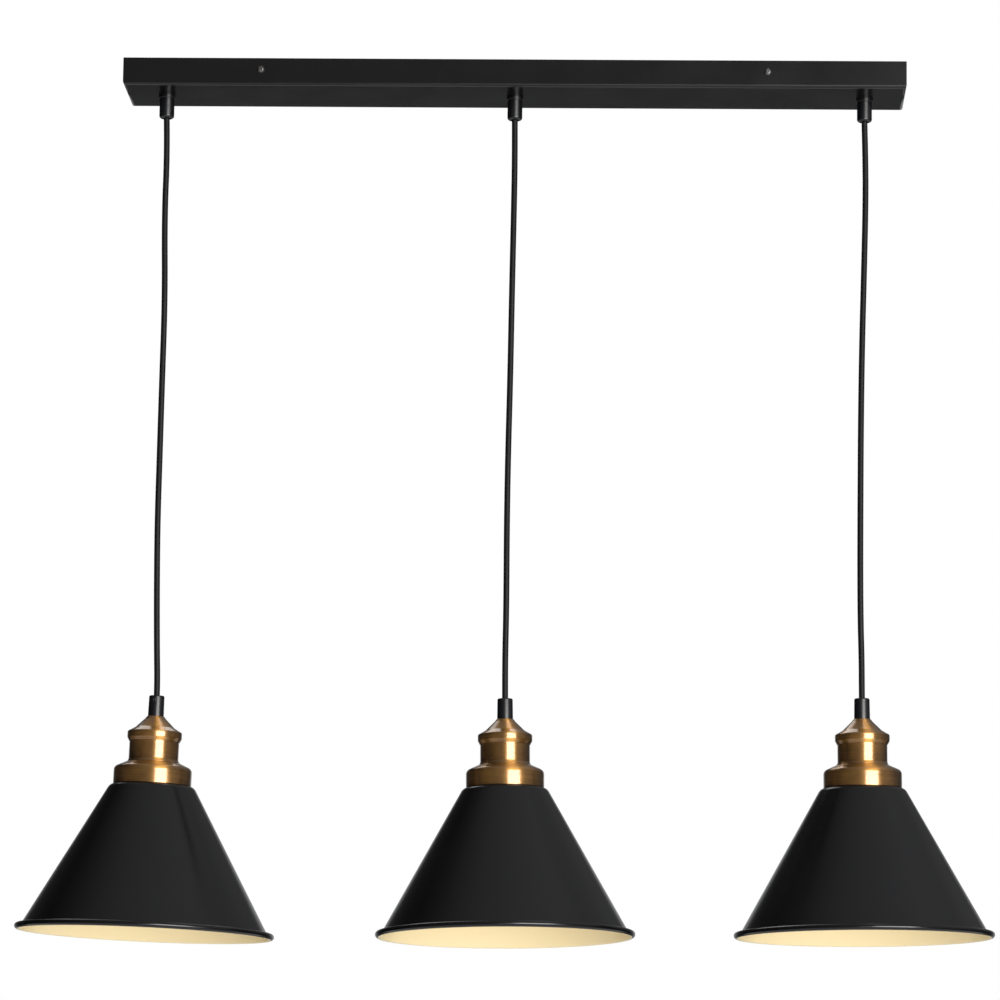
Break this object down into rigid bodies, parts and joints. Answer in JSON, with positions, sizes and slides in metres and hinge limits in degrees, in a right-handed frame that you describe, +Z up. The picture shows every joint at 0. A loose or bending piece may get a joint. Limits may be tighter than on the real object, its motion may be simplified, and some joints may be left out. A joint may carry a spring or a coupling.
{
  "type": "ceiling light",
  "caption": "Ceiling light: a flat bar against the ceiling, with cone-shaped metal shades hanging in a row on cables under brass lampholders.",
  "frame": {"origin": "on the ceiling plane, at the middle of the bracket between its two screw slots", "axes": "+X along the bar to the viewer's right, -Y towards the viewer, +Z up into the ceiling"},
  "size_m": [0.8345, 0.2232, 0.7637],
  "materials": {
    "black_paint": "satin black paint",
    "zinc_steel": "zinc plated",
    "screw_steel": "dark plated, slotted",
    "brass": "brushed antique brass",
    "moulded_black": "matt black moulding",
    "moulded_pale": "natural white moulding",
    "cable_sheath": "black flexible sheath",
    "contact_brass": "plain brass",
    "bulb_metal": "plain",
    "bulb_glass": "frosted inside"
  },
  "bodies": {
    "canopy": {"housing": "black_paint", "bracket": "zinc_steel", "fixing_screws": "screw_steel", "gland_nuts": "moulded_black", "gland_screws": "screw_steel", "terminal_block": "moulded_pale", "terminal_screws": "contact_brass", "earth_stud": "zinc_steel", "earth_nut": "contact_brass", "left_gland": "moulded_black", "left_lead": "cable_sheath", "middle_gland": "moulded_black", "middle_lead": "cable_sheath", "right_gland": "moulded_black", "right_lead": "cable_sheath"},
    "left_flex": {"left_cable_flex": "cable_sheath"},
    "left_pendant": {"left_cable": "cable_sheath", "left_grip": "moulded_black", "left_grip_screw": "screw_steel", "left_cap": "brass", "left_sleeve": "brass", "left_collar": "brass", "left_shade": "black_paint", "left_shade_ring": "moulded_black", "left_insert": "moulded_black", "left_screw_shell": "contact_brass", "left_contact": "contact_brass"},
    "left_bulb": {"left_bulb_cap": "bulb_metal", "left_bulb_glass": "bulb_glass"},
    "middle_flex": {"middle_cable_flex": "cable_sheath"},
    "middle_pendant": {"middle_cable": "cable_sheath", "middle_grip": "moulded_black", "middle_grip_screw": "screw_steel", "middle_cap": "brass", "middle_sleeve": "brass", "middle_collar": "brass", "middle_shade": "black_paint", "middle_shade_ring": "moulded_black", "middle_insert": "moulded_black", "middle_screw_shell": "contact_brass", "middle_contact": "contact_brass"},
    "middle_bulb": {"middle_bulb_cap": "bulb_metal", "middle_bulb_glass": "bulb_glass"},
    "right_flex": {"right_cable_flex": "cable_sheath"},
    "right_pendant": {"right_cable": "cable_sheath", "right_grip": "moulded_black", "right_grip_screw": "screw_steel", "right_cap": "brass", "right_sleeve": "brass", "right_collar": "brass", "right_shade": "black_paint", "right_shade_ring": "moulded_black", "right_insert": "moulded_black", "right_screw_shell": "contact_brass", "right_contact": "contact_brass"},
    "right_bulb": {"right_bulb_cap": "bulb_metal", "right_bulb_glass": "bulb_glass"}
  },
  "joints": [
    {"name": "left_side_swing", "type": "hinge", "parent": "canopy", "child": "left_flex", "pos_m": [-0.305, 0, -0.0441], "axis": [0, 1, 0], "range_deg": [-3, 25]},
    {"name": "left_fore_aft_swing", "type": "hinge", "parent": "left_flex", "child": "left_pendant", "pos_m": [-0.305, 0, -0.0441], "axis": [1, 0, 0], "range_deg": [-25, 25]},
    {"name": "left_bulb_out", "type": "slide", "parent": "left_pendant", "child": "left_bulb", "axis": [-0.0316, 0.0242, -0.9992], "range_m": [0, 0.028]},
    {"name": "middle_side_swing", "type": "hinge", "parent": "canopy", "child": "middle_flex", "pos_m": [0, 0, -0.0441], "axis": [0, 1, 0], "range_deg": [-3, 3]},
    {"name": "middle_fore_aft_swing", "type": "hinge", "parent": "middle_flex", "child": "middle_pendant", "pos_m": [0, 0, -0.0441], "axis": [1, 0, 0], "range_deg": [-25, 25]},
    {"name": "middle_bulb_out", "type": "slide", "parent": "middle_pendant", "child": "middle_bulb", "axis": [0.0133, 0, -0.9999], "range_m": [0, 0.028]},
    {"name": "right_side_swing", "type": "hinge", "parent": "canopy", "child": "right_flex", "pos_m": [0.305, 0, -0.0441], "axis": [0, 1, 0], "range_deg": [-25, 3]},
    {"name": "right_fore_aft_swing", "type": "hinge", "parent": "right_flex", "child": "right_pendant", "pos_m": [0.305, 0, -0.0441], "axis": [1, 0, 0], "range_deg": [-25, 25]},
    {"name": "right_bulb_out", "type": "slide", "parent": "right_pendant", "child": "right_bulb", "axis": [0.0118, 0.0187, -0.9998], "range_m": [0, 0.028]}
  ]
}
